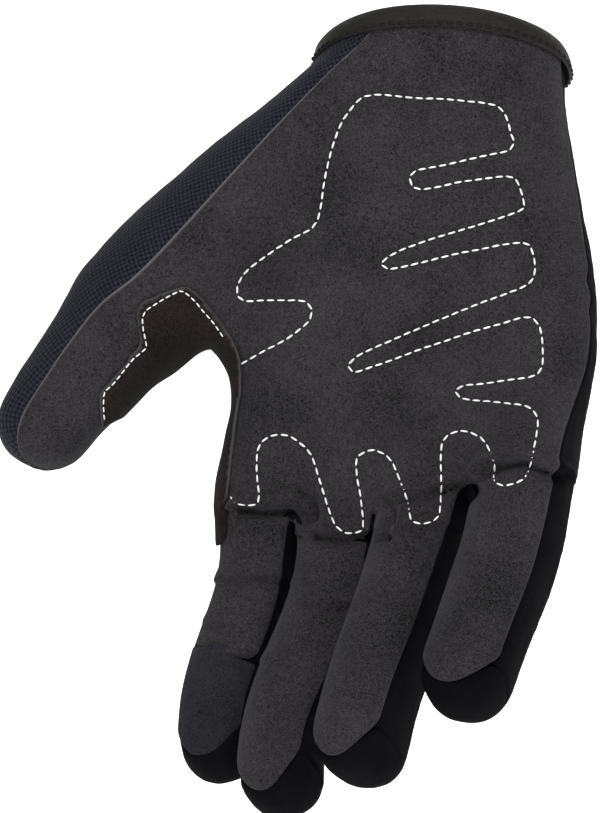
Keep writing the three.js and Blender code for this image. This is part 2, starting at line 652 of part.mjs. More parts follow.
const suede = new THREE.MeshStandardMaterial({ color: 0x2c2a2b, roughness: 0.95, metalness: 0 });
const patchSuede = new THREE.MeshStandardMaterial({ color: 0x1f1d1d, roughness: 0.92, metalness: 0 });
const mesh = new THREE.MeshStandardMaterial({ color: 0x171a26, roughness: 0.85, metalness: 0 });
const stretch = new THREE.MeshStandardMaterial({ color: 0x0d0d12, roughness: 0.7, metalness: 0 });
const touchCloth = new THREE.MeshStandardMaterial({ color: 0x222329, roughness: 0.8, metalness: 0 });
const tape = new THREE.MeshStandardMaterial({ color: 0x181716, roughness: 0.75, metalness: 0 });

const panelCloth = {
  palm_panel: { wall: suedeWall, material: suede },
  index_touch_tip: { wall: suedeWall, material: touchCloth },
  back_panel: { wall: meshWall, material: mesh },
};
const glove = new THREE.Group();
function addPiece(name, geometry, material) {
  const piece = new THREE.Mesh(geometry, material);
  piece.name = name;
  glove.add(piece);
}
for (const name of new Set(skin.map((face) => face.panel))) {
  const { wall, material } = panelCloth[name] ?? { wall: stretchWall, material: stretch };
  addPiece(name, thicken(skin.filter((face) => face.panel === name), 0, wall, seamGap), material);
}
addPiece("thumb_crotch_patch", forkPatch(), patchSuede);
addPiece("cuff_binding", cuffBinding(), tape);

export default glove;
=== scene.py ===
import bpy, bmesh, math, random
import numpy as np
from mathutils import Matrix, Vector, noise
from mathutils.bvhtree import BVHTree
from mathutils.kdtree import KDTree


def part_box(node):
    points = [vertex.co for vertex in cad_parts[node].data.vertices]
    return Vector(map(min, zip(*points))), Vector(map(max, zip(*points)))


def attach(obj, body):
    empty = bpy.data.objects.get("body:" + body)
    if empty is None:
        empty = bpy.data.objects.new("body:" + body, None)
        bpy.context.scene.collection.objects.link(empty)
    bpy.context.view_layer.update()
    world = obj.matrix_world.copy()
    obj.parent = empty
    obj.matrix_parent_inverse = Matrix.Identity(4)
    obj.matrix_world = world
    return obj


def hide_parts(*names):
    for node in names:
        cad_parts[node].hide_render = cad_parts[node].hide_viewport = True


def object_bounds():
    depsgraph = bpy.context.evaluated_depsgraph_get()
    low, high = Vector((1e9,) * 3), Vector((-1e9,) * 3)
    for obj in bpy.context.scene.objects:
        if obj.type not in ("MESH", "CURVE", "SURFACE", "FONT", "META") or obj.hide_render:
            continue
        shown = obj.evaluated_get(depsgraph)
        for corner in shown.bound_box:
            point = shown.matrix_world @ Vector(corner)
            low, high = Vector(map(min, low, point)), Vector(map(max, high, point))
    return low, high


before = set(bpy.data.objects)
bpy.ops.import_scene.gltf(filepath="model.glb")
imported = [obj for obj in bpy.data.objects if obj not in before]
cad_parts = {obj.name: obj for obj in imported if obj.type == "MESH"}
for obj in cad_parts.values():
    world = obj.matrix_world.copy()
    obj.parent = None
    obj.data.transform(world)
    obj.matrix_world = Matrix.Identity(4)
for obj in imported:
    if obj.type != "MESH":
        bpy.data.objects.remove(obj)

mm = 0.001
random.seed(7)
cadLow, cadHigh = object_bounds()
scene = bpy.context.scene

# camera, straight on to the palm; one metre from the plane of the wrist opening's middle
cameraSetup = {"place": (-40.9, -1000, -103.3), "lens": 155, "sensor": 36}


def makeCamera():
    data = bpy.data.cameras.new("camera")
    data.lens, data.sensor_width = cameraSetup["lens"], cameraSetup["sensor"]
    data.clip_start, data.clip_end = 0.05, 20
    camera = bpy.data.objects.new("camera", data)
    camera.location = Vector(cameraSetup["place"]) * mm
    camera.rotation_euler = (math.pi / 2, 0, 0)
    scene.collection.objects.link(camera)
    scene.camera = camera
    return camera


camera = makeCamera()
print("camera ready")


def seen(p):
    # where a point is in the picture plane through the origin, in mm
    t = -camera.location.y / (p.y - camera.location.y)
    x = camera.location.x + (p.x - camera.location.x) * t
    z = camera.location.z + (p.z - camera.location.z) * t
    return x / mm, z / mm


# lights and floor
studio = {
    "floorDrop": 3.0,  # mm under the lowest fingertip
    "floorSize": 3.0,
    "wallAway": 1.4,  # further back than the floor's half
    "wallHeight": 3.0,
    "wallBend": [(0, 0.22, 0.06), (0, 0.16, 0.16), (0, 0.06, 0.22)],
    "aim": (-40, 0, -105),  # mm
    "world": (0.95, 0.96, 1.0),
    "worldStrength": 0.1,
    "lights": [
        {"name": "keyLight", "place": (0.02, -1.12, 0.66), "size": 0.55, "power": 17.5},
        {"name": "fillLight", "place": (0.95, -0.9, 0.1), "size": 1.0, "power": 0.6},
        {"name": "rimLight", "place": (0.5, 0.9, 0.8), "size": 0.7, "power": 3},
        {"name": "topLight", "place": (-0.1, -0.25, 1.1), "size": 0.7, "power": 4},
    ],
}


def only(kind, geom):
    return [g for g in geom if isinstance(g, kind)]


def makeStudio():
    world = bpy.data.worlds.new("softRoom")
    world.use_nodes = True
    background = world.node_tree.nodes["Background"]
    background.inputs["Color"].default_value = (*studio["world"], 1)
    background.inputs["Strength"].default_value = studio["worldStrength"]
    scene.world = world
    scene.view_settings.view_transform = "Standard"
    aim = Vector(studio["aim"]) * mm
    for item in studio["lights"]:
        data = bpy.data.lights.new(item["name"], "AREA")
        data.size, data.energy = item["size"], item["power"]
        light = bpy.data.objects.new(item["name"], data)
        light.location = item["place"]
        light.rotation_euler = (aim - light.location).to_track_quat("-Z", "Y").to_euler()
        scene.collection.objects.link(light)
    # floor and backdrop in one bent sheet
    half = studio["floorSize"]
    bm = bmesh.new()
    front = [bm.verts.new((x, -half, 0)) for x in (-half, half)]
    edge = bm.edges.new(front)
    ground, wall = (0, half + studio["wallAway"], 0), (0, 0, studio["wallHeight"])
    for move in [ground, *studio["wallBend"], wall]:
        grown = bmesh.ops.extrude_edge_only(bm, edges=[edge])["geom"]
        bmesh.ops.translate(bm, verts=only(bmesh.types.BMVert, grown), vec=move)
        edge = only(bmesh.types.BMEdge, grown)[0]
    bmesh.ops.translate(bm, verts=bm.verts, vec=(0, 0, cadLow.z - studio["floorDrop"] * mm))
    mesh = bpy.data.meshes.new("studioFloor")
    bm.to_mesh(mesh)
    bm.free()
    mesh.shade_smooth()
    floor = bpy.data.objects.new("studioFloor", mesh)
    scene.collection.objects.link(floor)
    paint = bpy.data.materials.new("palePaint")
    paint.use_nodes = True
    shader = paint.node_tree.nodes["Principled BSDF"]
    shader.inputs["Base Color"].default_value = (0.9, 0.9, 0.9, 1)
    shader.inputs["Roughness"].default_value = 0.9
    shader.inputs["Emission Color"].default_value = (1, 1, 1, 1)
    shader.inputs["Emission Strength"].default_value = 0.8
    mesh.materials.append(paint)


makeStudio()
print("studio ready")


# material helpers
def newMaterial(name, roughness, sheen=0.0, sheenTint=(1, 1, 1), specular=0.35):
    material = bpy.data.materials.new(name)
    material.use_nodes = True
    shader = material.node_tree.nodes["Principled BSDF"]
    shader.inputs["Roughness"].default_value = roughness
    shader.inputs["Sheen Weight"].default_value = sheen
    shader.inputs["Sheen Roughness"].default_value = 0.5
    shader.inputs["Sheen Tint"].default_value = (*sheenTint, 1)
    shader.inputs["Specular IOR Level"].default_value = specular
    return material, shader


class Web:
    # short ways to add and join shader nodes
    def __init__(self, material):
        self.tree = material.node_tree

    def add(self, kind, **values):
        node = self.tree.nodes.new(kind)
        for key, value in values.items():
            setattr(node, key, value)
        return node

    def join(self, a, b):
        self.tree.links.new(a, b)

    def maths(self, operation, a, b=None):
        node = self.add("ShaderNodeMath", operation=operation)
        for i, value in enumerate((a, b)):
            if value is None:
                continue
            if isinstance(value, (int, float)):
                node.inputs[i].default_value = value
            else:
                self.join(value, node.inputs[i])
        return node.outputs[0]

    def blend(self, a, shareA, b, shareB):
        first, second = self.maths("MULTIPLY", a, shareA), self.maths("MULTIPLY", b, shareB)
        return self.maths("ADD", first, second)

    def noise(self, vector, scale, detail=3.0, rough=0.6):
        node = self.add("ShaderNodeTexNoise")
        node.inputs["Scale"].default_value = scale
        node.inputs["Detail"].default_value = detail
        node.inputs["Roughness"].default_value = rough
        self.join(vector, node.inputs["Vector"])
        return node.outputs["Fac"]

    def ramp(self, factor, stops):
        node = self.add("ShaderNodeValToRGB")
        ramp = node.color_ramp
        while len(ramp.elements) < len(stops):
            ramp.elements.new(0.5)
        for element, (place, colour) in zip(ramp.elements, stops):
            element.position, element.color = place, (*colour, 1)
        self.join(factor, node.inputs["Fac"])
        return node.outputs["Color"]

    def mix(self, factor, a, b, blend="MIX"):
        node = self.add("ShaderNodeMix", data_type="RGBA", blend_type=blend)
        sockets = (node.inputs["Factor"], node.inputs[6], node.inputs[7])
        for socket, value in zip(sockets, (factor, a, b)):
            if isinstance(value, (int, float)):
                socket.default_value = value
            elif isinstance(value, tuple):
                socket.default_value = (*value, 1)
            else:
                self.join(value, socket)
        return node.outputs[2]

    def bump(self, height, strength, distance, before=None):
        node = self.add("ShaderNodeBump")
        node.inputs["Strength"].default_value = strength
        node.inputs["Distance"].default_value = distance
        self.join(height, node.inputs["Height"])
        if before is not None:
            self.join(before, node.inputs["Normal"])
        return node.outputs["Normal"]


def suedeMaterial(name, dark, pale, sheen, grain=1.0):
    # brushed nap: clumps of fibre a few tenths of a mm wide over soft hand marks
    material, shader = newMaterial(name, 0.96, sheen, (0.75, 0.74, 0.8), 0.04)
    web = Web(material)
    place = web.add("ShaderNodeTexCoord").outputs["Object"]
    fibre = web.noise(place, 2700 / grain, 4, 0.8)
    clump = web.noise(place, 1100 / grain, 3, 0.6)
    marks = web.noise(place, 45, 4, 0.55)
    speckle = web.blend(fibre, 0.78, clump, 0.22)
    tone = web.blend(speckle, 0.85, marks, 0.15)
    middle = tuple((a + b) / 2 for a, b in zip(dark, pale))
    colour = web.ramp(tone, [(0.4, dark), (0.5, middle), (0.6, pale)])
    # lightens the suede along its border: the palm's real pale cut edge by its seam, and a painted
    # highlight along the thumb patch's turned border
    edgePaleness = web.add("ShaderNodeAttribute", attribute_name="paleEdge").outputs["Fac"]
    colour = web.mix(web.maths("MULTIPLY", edgePaleness, 0.85), colour, (0.15, 0.145, 0.15))
    web.join(colour, shader.inputs["Base Color"])
    web.join(web.bump(clump, 0.3, 0.0003, web.bump(fibre, 0.75, 0.0003)), shader.inputs["Normal"])
    return material


def knitMaterial(name, dark, pale, pitch, depth):
    # spacer mesh: diamonds on the piece's own cloth map, in mm
    material, shader = newMaterial(name, 0.75, 0.02, (0.7, 0.75, 1.0), 0.1)
    web = Web(material)
    uv = web.add("ShaderNodeUVMap", uv_map="cloth")
    split = web.add("ShaderNodeSeparateXYZ")
    wobble = web.add("ShaderNodeTexNoise")
    wobble.inputs["Scale"].default_value = 0.5
    web.join(uv.outputs["UV"], wobble.inputs["Vector"])
    web.join(uv.outputs["UV"], split.inputs[0])
    bend = web.maths("MULTIPLY", web.maths("SUBTRACT", wobble.outputs["Fac"], 0.5), 0.9)
    u = web.maths("ADD", split.outputs["X"], bend)
    v = split.outputs["Y"]
    turn = 2 * math.pi / pitch
    a = web.maths("SINE", web.maths("MULTIPLY", web.maths("ADD", u, v), turn * 0.5))
    b = web.maths("SINE", web.maths("MULTIPLY", web.maths("SUBTRACT", u, v), turn * 0.5))
    knot = web.maths("MULTIPLY", a, b)
    height = web.maths("ADD", web.maths("MULTIPLY", knot, 0.5), 0.5)
    yarn = web.maths("SINE", web.maths("MULTIPLY", v, turn * 4))
    tall = web.maths("ADD", height, web.maths("MULTIPLY", yarn, 0.07))
    place = web.add("ShaderNodeTexCoord").outputs["Object"]
    blotch = web.noise(place, 45, 3)
    fray = web.noise(place, 1500, 3, 0.7)
    speck = web.blend(blotch, 0.15, fray, 0.45)
    tone = web.maths("ADD", web.maths("MULTIPLY", height, 0.4), speck)
    web.join(web.ramp(tone, [(0.34, dark), (0.72, pale)]), shader.inputs["Base Color"])
    web.join(web.bump(tall, 1.0, depth), shader.inputs["Normal"])
    return material


def stretchMaterial(name, dark, pale, roughness=0.85):
    material, shader = newMaterial(name, roughness, 0.0, (0.8, 0.82, 1.0), 0.03)
    web = Web(material)
    uv = web.add("ShaderNodeUVMap", uv_map="cloth")
    split = web.add("ShaderNodeSeparateXYZ")
    web.join(uv.outputs["UV"], split.inputs[0])
    course = web.maths("SINE", web.maths("MULTIPLY", split.outputs["X"], 2 * math.pi / 0.45))
    wale = web.maths("SINE", web.maths("MULTIPLY", split.outputs["Y"], 2 * math.pi / 0.6))
    loops = web.maths("MULTIPLY", course, wale)
    place = web.add("ShaderNodeTexCoord").outputs["Object"]
    cloud = web.noise(place, 70, 4)
    grain = web.noise(place, 1900, 3)
    tone = web.blend(cloud, 0.6, grain, 0.4)
    web.join(web.ramp(tone, [(0.35, dark), (0.65, pale)]), shader.inputs["Base Color"])
    web.join(web.bump(grain, 0.25, 0.0001, web.bump(loops, 0.35, 0.00012)), shader.inputs["Normal"])
    return material


def tapeMaterial(name):
    # elastic tape: fine ribs along the edge, from the piece's own height on the tape
    material, shader = newMaterial(name, 0.65, 0.05, (1, 0.92, 0.88), 0.12)
    web = Web(material)
    down = web.add("ShaderNodeAttribute", attribute_name="tapeDown").outputs["Fac"]
    rib = web.maths("SINE", web.maths("MULTIPLY", down, 2 * math.pi / 0.62))
    place = web.add("ShaderNodeTexCoord").outputs["Object"]
    grain = web.noise(place, 1500, 3)
    cloud = web.noise(place, 80, 3)
    speck = web.blend(grain, 0.6, cloud, 0.4)
    tone = web.maths("ADD", web.maths("MULTIPLY", rib, 0.05), speck)
    web.join(web.ramp(tone, [(0.3, (0.003, 0.0025, 0.0025)), (0.7, (0.018, 0.0142, 0.0136))]),
             shader.inputs["Base Color"])
    web.join(web.bump(rib, 0.4, 0.0002, web.bump(grain, 0.3, 0.0001)), shader.inputs["Normal"])
    return material


def threadMaterial(name, dark, pale, roughness):
    material, shader = newMaterial(name, roughness, 0.0, (1, 1, 1), 0.15)
    web = Web(material)
    place = web.add("ShaderNodeTexCoord").outputs["Object"]
    fibre = web.noise(place, 3500, 2)
    web.join(web.ramp(fibre, [(0.3, dark), (0.65, pale)]), shader.inputs["Base Color"])
    web.join(web.bump(fibre, 0.5, 0.0001), shader.inputs["Normal"])
    return material


cloths = {
    "suede": suedeMaterial(
        "charcoalSuede", (0.0015, 0.0014, 0.0015), (0.042, 0.039, 0.0415), 0.06),
    "patchSuede": suedeMaterial(
        "patchSuede", (0.001, 0.0008, 0.0008), (0.022, 0.0170, 0.0155), 0.02),
    "paleEdge": suedeMaterial(
        "cutSuedeEdge", (0.03, 0.028, 0.03), (0.09, 0.085, 0.09), 0.15),
    "touch": suedeMaterial(
        "touchCloth", (0.0025, 0.0025, 0.0032), (0.027, 0.0265, 0.033), 0.04, 0.8),
    "mesh": knitMaterial(
        "diamondMesh", (0.0012, 0.0013, 0.0022), (0.0215, 0.022, 0.0325), 1.25, 0.0005),
    "stretch": stretchMaterial("stretchKnit", (0.0012, 0.0012, 0.0017), (0.0034, 0.0034, 0.0046)),
    "tape": tapeMaterial("elasticTape"),
    "whiteThread": threadMaterial("whiteThread", (0.55, 0.55, 0.56), (0.9, 0.9, 0.9), 0.6),
    "blackThread": threadMaterial(
        "blackThread", (0.0012, 0.0012, 0.0012), (0.006, 0.0055, 0.0055), 0.6),
}
print("materials ready")


# cloth panels
weld = 0.004  # mm
creaseAngle = 0.6  # radians, a wall's own edges are sharper


def joinQuads(bm):
    bmesh.ops.join_triangles(
        bm, faces=bm.faces, angle_face_threshold=math.pi, angle_shape_threshold=math.pi)


def sheetsOf(faces, crosses):
    # groups of faces that hang together over the edges that crosses() lets through
    unseen, sheets = set(faces), []
    while unseen:
        stack = [unseen.pop()]
        sheet = set(stack)
        while stack:
            for edge in stack.pop().edges:
                if not crosses(edge):
                    continue
                for other in edge.link_faces:
                    if other in unseen:
                        unseen.discard(other)
                        sheet.add(other)
                        stack.append(other)
        sheets.append(sheet)
    return sheets


def smoothEdge(edge):
    return len(edge.link_faces) == 2 and not edge.calc_face_angle_signed(0) > creaseAngle


def outerSkin(node):
    # a copy of a CAD panel's outer face as one open sheet of quads
    bm = bmesh.new()
    bm.from_mesh(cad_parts[node].data)
    bmesh.ops.remove_doubles(bm, verts=bm.verts, dist=weld * mm)
    total = len(bm.faces)
    sheets = sheetsOf(bm.faces, smoothEdge)
    outer = max(sheets, key=lambda sheet: sum(f.calc_area() for f in sheet))
    rim = sum(1 for f in outer for e in f.edges if any(o not in outer for o in e.link_faces))
    if total != 2 * len(outer) + 2 * rim:
        print("uneven skin", node, total, len(outer), rim)
    bmesh.ops.delete(bm, geom=[f for f in bm.faces if f not in outer], context="FACES")
    joinQuads(bm)
    return bm


def link(name, mesh):
    piece = bpy.data.objects.new(name, mesh)
    scene.collection.objects.link(piece)
    return piece


def clothMap(piece):
    # flat cloth coordinates in mm, upright as the glove stands
    bpy.context.view_layer.objects.active = piece
    piece.select_set(True)
    while piece.data.uv_layers:
        piece.data.uv_layers.remove(piece.data.uv_layers[0])
    piece.data.uv_layers.new(name="cloth")
    bpy.ops.object.mode_set(mode="EDIT")
    bpy.ops.mesh.select_all(action="SELECT")
    bpy.ops.uv.unwrap(method="ANGLE_BASED", margin=0)
    bpy.ops.object.mode_set(mode="OBJECT")
    piece.select_set(False)
    mesh = piece.data
    uv = np.zeros(len(mesh.loops) * 2)
    mesh.uv_layers["cloth"].data.foreach_get("uv", uv)
    uv = uv.reshape(-1, 2)
    corner = np.zeros(len(mesh.loops), int)
    mesh.loops.foreach_get("vertex_index", corner)
    place = np.zeros(len(mesh.vertices) * 3)
    mesh.vertices.foreach_get("co", place)
    place = place.reshape(-1, 3)[corner]
    flatArea = 0.0
    for face in mesh.polygons:
        corners = uv[list(face.loop_indices)]
        a, b = corners, np.roll(corners, -1, 0)
        flatArea += abs(np.sum(a[:, 0] * b[:, 1] - b[:, 0] * a[:, 1])) / 2
    area = sum(face.area for face in mesh.polygons)
    uv = (uv - uv.mean(0)) * math.sqrt(area / max(flatArea, 1e-12)) / mm
    up = place[:, 2] - place[:, 2].mean()
    turn = math.atan2(np.sum(uv[:, 0] * up), np.sum(uv[:, 1] * up))
    c, s = math.cos(turn), math.sin(turn)
    uv = np.stack([uv[:, 0] * c - uv[:, 1] * s, uv[:, 0] * s + uv[:, 1] * c], 1)
    mesh.uv_layers["cloth"].data.foreach_set("uv", uv.ravel())


def refined(piece, levels, corners="PRESERVE_CORNERS"):
    modifier = piece.modifiers.new("round", "SUBSURF")
    modifier.levels = modifier.render_levels = levels
    modifier.boundary_smooth = corners
    bake(piece)


def bake(piece):
    graph = bpy.context.evaluated_depsgraph_get()
    mesh = bpy.data.meshes.new_from_object(
        piece.evaluated_get(graph), preserve_all_data_layers=True, depsgraph=graph)
    old = piece.data
    piece.modifiers.clear()
    piece.data = mesh
    mesh.name = piece.name
    bpy.data.meshes.remove(old)


def edgeDistance(bm):
    # how far each vertex is from the sheet's edge, in mm
    rim = [v for v in bm.verts if v.is_boundary]
    tree = KDTree(len(rim))
    for i, v in enumerate(rim):
        tree.insert(v.co, i)
    tree.balance()
    return [tree.find(v.co)[2] / mm for v in bm.verts]


def smooth(low, high, value):
    t = min(1.0, max(0.0, (value - low) / (high - low)))
    return t * t * (3 - 2 * t)


def pathDistance(x, z, points):
    # distance to a path in the picture plane, and how far the point is to the left of it
    best, side = 1e9, 0
    for (ax, az), (bx, bz) in zip(points, points[1:]):
        dx, dz = bx - ax, bz - az
        t = min(1, max(0, ((x - ax) * dx + (z - az) * dz) / (dx * dx + dz * dz)))
        ex, ez = x - ax - t * dx, z - az - t * dz
        distance = math.hypot(ex, ez)
        if distance < best:
            best, side = distance, (dx * ez - dz * ex)
    return best, math.copysign(best, side)


# folds that a worn hand leaves, as seen from the palm: depth and width in mm; "bulge" is how far
# the cloth stands out on the path's left side
folds = [
    {"name": "indexBase", "path": [(-58, -133), (-52, -133.8), (-44, -133.6)],
     "depth": 3.2, "width": 1.25, "bulge": 2.2},
    {"name": "middleBase", "path": [(-38, -140.2), (-27, -141.8), (-17, -140.2)],
     "depth": 3.0, "width": 1.25, "bulge": 2.0},
    {"name": "ringBase", "path": [(-13, -129.6), (-5, -129.2), (3, -126.6)],
     "depth": 2.4, "width": 1.25, "bulge": 1.6},
    {"name": "ringBaseLow", "path": [(-13, -137.6), (-6, -138.8), (-1, -137.6)],
     "depth": 1.4, "width": 1.2, "bulge": 0.9},
    {"name": "littleBase", "path": [(11, -123), (15, -120.4), (23, -119.4), (33, -123.6)],
     "depth": 3.4, "width": 1.3, "bulge": 2.2},
    {"name": "indexMid", "path": [(-62, -153.5), (-54, -153), (-47, -154)],
     "depth": 1.5, "width": 1.15, "bulge": 1.0},
    {"name": "indexWrinkleA", "path": [(-66, -166), (-61, -168)],
     "depth": 0.8, "width": 1.1, "bulge": 0.5},
    {"name": "indexWrinkleB", "path": [(-66, -171), (-59, -172.5)],
     "depth": 0.8, "width": 1.1, "bulge": 0.5},
    {"name": "touchSeamRoll", "path": [(-67, -175), (-60, -175.5), (-54, -176)],
     "depth": 0.6, "width": 1.1, "bulge": 1.1},
    {"name": "middleMid", "path": [(-38, -160), (-30, -162), (-25, -161)],
     "depth": 1.2, "width": 1.2, "bulge": 0.8},
    {"name": "ringMid", "path": [(-19, -152), (-11, -154), (-6, -152.5)],
     "depth": 0.45, "width": 1.6, "bulge": 0.25},
    {"name": "littleMid", "path": [(7, -142), (15, -144), (22, -142)],
     "depth": 0.45, "width": 1.6, "bulge": 0.25},
    {"name": "thumbFold", "path": [(-70, -78), (-76, -91), (-84, -101)],
     "depth": 0.5, "width": 2.2, "bulge": 0.3},
    {"name": "heelFold", "path": [(-30, -22), (-46, -44), (-64, -62)],
     "depth": 0.6, "width": 3.2, "bulge": 0.5},
    {"name": "lifeFold", "path": [(-50, -66), (-40, -84), (-38, -104)],
     "depth": 0.7, "width": 3.5, "bulge": 0.4},
    {"name": "cuffFoldA", "path": [(-8, -10), (2, -20), (8, -34)],
     "depth": 0.35, "width": 3.0, "bulge": 0.3},
    {"name": "cuffFoldB", "path": [(20, -8), (24, -22), (24, -38)],
     "depth": 0.35, "width": 3.0, "bulge": 0.3},
    {"name": "edgeFoldA", "path": [(30, -64), (37, -66), (44, -67.5)],
     "depth": 0.7, "width": 1.8, "bulge": 0.4},
    {"name": "edgeFoldB", "path": [(34, -75), (44, -76.5)],
     "depth": 0.5, "width": 1.8, "bulge": 0.4},
]

# dark pockets where the gussets fold in between the fingers' roots
pockets = [
    {"name": "indexMiddle", "place": (-39.2, -134.2), "wide": 2.6, "tall": 5.2, "depth": 5.5},
    {"name": "middleRing", "place": (-16.2, -134.6), "wide": 2.2, "tall": 4.6, "depth": 5.0},
    {"name": "ringLittle", "place": (6.2, -127.6), "wide": 2.8, "tall": 4.2, "depth": 4.0},
]

# the white stitching on the palm, and the finer one on the patch, in mm in the picture plane: points
# read along the photo's stitches, close together because the line is curved nearly all along
palmStitchPath = [
    (-57.8, -91.2), (-51.2, -87.5), (-44.6, -84.0), (-40.9, -81.2), (-38.3, -78.9),
    (-37.5, -76.6), (-37.6, -74.9), (-38.9, -73.6), (-40.9, -73.0), (-50.0, -73.0),
    (-56.0, -73.2), (-58.6, -72.0), (-58.9, -69.2), (-57.8, -66.6), (-56.0, -64.3),
    (-51.2, -60.6), (-44.6, -56.3), (-40.9, -54.3), (-37.6, -52.6), (-35.8, -50.0),
    (-34.9, -46.3), (-34.0, -39.7), (-32.9, -34.2), (-31.6, -29.2), (-29.5, -23.2),
    (-27.2, -19.4), (-23.5, -15.2), (-19.8, -14.3), (-16.3, -14.3), (-8.0, -15.2),
    (-0.3, -15.4), (6.0, -16.0), (11.7, -16.6), (15.4, -17.5), (17.4, -19.4), (18.5, -22.0),
    (19.4, -25.5), (20.2, -27.9), (19.2, -29.9), (17.1, -30.6), (11.7, -31.7), (6.5, -32.9),
    (0.5, -34.3), (-5.5, -35.4), (-8.0, -36.0), (-9.5, -37.5), (-9.2, -39.7), (-8.0, -41.0),
    (-5.5, -41.3), (-0.3, -40.3), (4.5, -39.2), (10.5, -38.4), (16.0, -37.7), (19.2, -37.6),
    (21.1, -38.9), (22.2, -41.7), (23.1, -45.2), (22.8, -47.0), (19.7, -48.3), (11.7, -50.9),
    (5.1, -52.9), (-2.6, -55.2), (-9.8, -57.7), (-14.6, -59.9), (-17.2, -61.7), (-17.5, -63.2),
    (-15.8, -64.0), (-11.5, -63.4), (-5.5, -62.0), (2.8, -59.9), (11.1, -58.3), (18.2, -56.9),
    (23.7, -56.6), (25.2, -58.4), (26.0, -60.9), (26.2, -64.3), (25.7, -66.6), (24.0, -68.6),
    (17.1, -71.4), (11.7, -73.4), (2.8, -76.9), (-6.0, -80.6), (-14.6, -84.3), (-22.9, -88.0),
    (-26.0, -90.0), (-27.2, -91.7), (-26.6, -92.9), (-24.9, -93.5), (-21.8, -92.4),
    (-16.3, -90.6), (-8.0, -87.5), (-0.3, -84.9), (8.2, -82.0), (16.5, -79.7), (23.7, -77.7),
    (26.8, -79.2), (28.0, -82.3), (28.4, -86.2), (28.4, -90.6), (27.7, -93.2), (25.2, -94.9),
    (19.2, -95.7), (11.1, -96.9), (5.7, -97.4), (3.7, -98.7), (4.0, -100.3), (6.7, -101.3),
    (13.7, -102.0), (19.2, -102.6), (23.7, -103.2), (26.0, -104.9), (27.1, -107.4),
    (26.5, -111.9), (25.7, -116.3), (24.8, -120.6), (23.1, -123.9), (20.2, -125.4),
    (17.1, -126.0), (15.1, -125.2), (14.4, -123.4), (14.8, -120.0), (13.7, -116.9),
    (11.7, -112.9), (8.8, -111.2), (5.4, -110.3), (1.7, -111.3), (-0.2, -113.5), (-0.7, -116.9),
    (-0.6, -122.3), (-0.6, -127.7), (-0.9, -132.0), (-1.8, -135.4), (-5.5, -136.7),
    (-8.0, -136.4), (-9.5, -135.2), (-9.8, -132.0), (-10.9, -127.7), (-12.9, -122.9),
    (-14.6, -118.9), (-17.5, -116.6), (-20.3, -115.7), (-23.5, -116.9), (-24.9, -118.9),
    (-24.6, -123.4), (-23.8, -127.7), (-23.2, -132.6), (-22.8, -137.0), (-23.5, -138.9),
    (-25.5, -139.4), (-28.3, -139.2), (-30.9, -137.2), (-32.3, -133.7), (-33.8, -128.9),
    (-35.5, -123.4), (-36.9, -118.9), (-38.6, -115.7), (-40.9, -113.7), (-43.5, -111.9),
    (-46.9, -111.3), (-50.0, -112.0), (-52.6, -114.6), (-53.2, -117.9), (-53.2, -123.4),
    (-52.6, -127.7), (-52.9, -130.7), (-55.0, -131.4), (-58.9, -130.9), (-60.5, -129.4),
    (-61.3, -126.9),
]
patchStitchPath = [
    (-96.6, -109.2), (-96.9, -106.5), (-97.1, -103.0), (-97.0, -100.0), (-96.5, -98.8),
    (-94.4, -97.0), (-91.6, -93.5), (-88.9, -90.0), (-86.9, -88.3), (-85.0, -86.6),
    (-84.9, -85.2), (-85.6, -81.7), (-85.9, -78.2), (-85.0, -76.0), (-83.0, -74.6),
    (-79.5, -72.4), (-75.0, -70.2), (-74.0, -70.6), (-71.5, -72.6), (-68.9, -75.7),
    (-66.3, -78.6), (-64.0, -81.7), (-62.3, -84.3),
]
stitches = {
    "palm": {"path": palmStitchPath, "pitch": 2.97, "length": 2.2, "thick": 0.56,
             "groove": 0.55, "width": 1.2},
    "patch": {"path": patchStitchPath, "pitch": 2.15, "length": 1.5, "thick": 0.42,
              "groove": 0.25, "width": 0.8},
}


def rounded(points, step):
    # a smooth path through the corners, sampled evenly
    fine, parts, final = [], 12, len(points) - 1
    for i in range(final):
        a, b, c, d = [Vector(points[max(0, min(final, i + k))]) for k in (-1, 0, 1, 2)]
        for j in range(parts):
            t = j / parts
            fine.append(0.5 * ((2 * b) + (c - a) * t + (2 * a - 5 * b + 4 * c - d) * t * t
                               + (3 * b - a - 3 * c + d) * t ** 3))
    fine.append(Vector(points[-1]))
    even, walked = [fine[0]], 0.0
    for a, b in zip(fine, fine[1:]):
        gap = (b - a).length
        while walked + gap >= step:
            t = (step - walked) / gap
            a = a.lerp(b, t)
            even.append(a.copy())
            gap = (b - a).length
            walked = 0.0
        walked += gap
    return even


grooveStep = 0.3  # mm
grooveTrees = {}
for key, item in stitches.items():
    even = rounded(item["path"], grooveStep)
    tree = KDTree(len(even))
    for i, p in enumerate(even):
        tree.insert((p.x, 0, p.y), i)
    tree.balance()
    grooveTrees[key] = tree


foldReach = 4  # fold widths


def addFoldBoxes():
    for fold in folds:
        xs = [p[0] for p in fold["path"]]
        zs = [p[1] for p in fold["path"]]
        reach = fold["width"] * foldReach
        fold["box"] = (min(xs) - reach, max(xs) + reach, min(zs) - reach, max(zs) + reach)


addFoldBoxes()

relief = {
    "facing": (0.05, 0.45),  # relief fades in as the cloth turns to the viewer
    "bulgeAway": 2.2, "bulgeWidth": 1.3,  # fold widths
    "pocketReach": 3,
    "pucker": 0.12, "puckerScale": 0.9, "puckerWidth": 3, "puckerReach": 5,
}


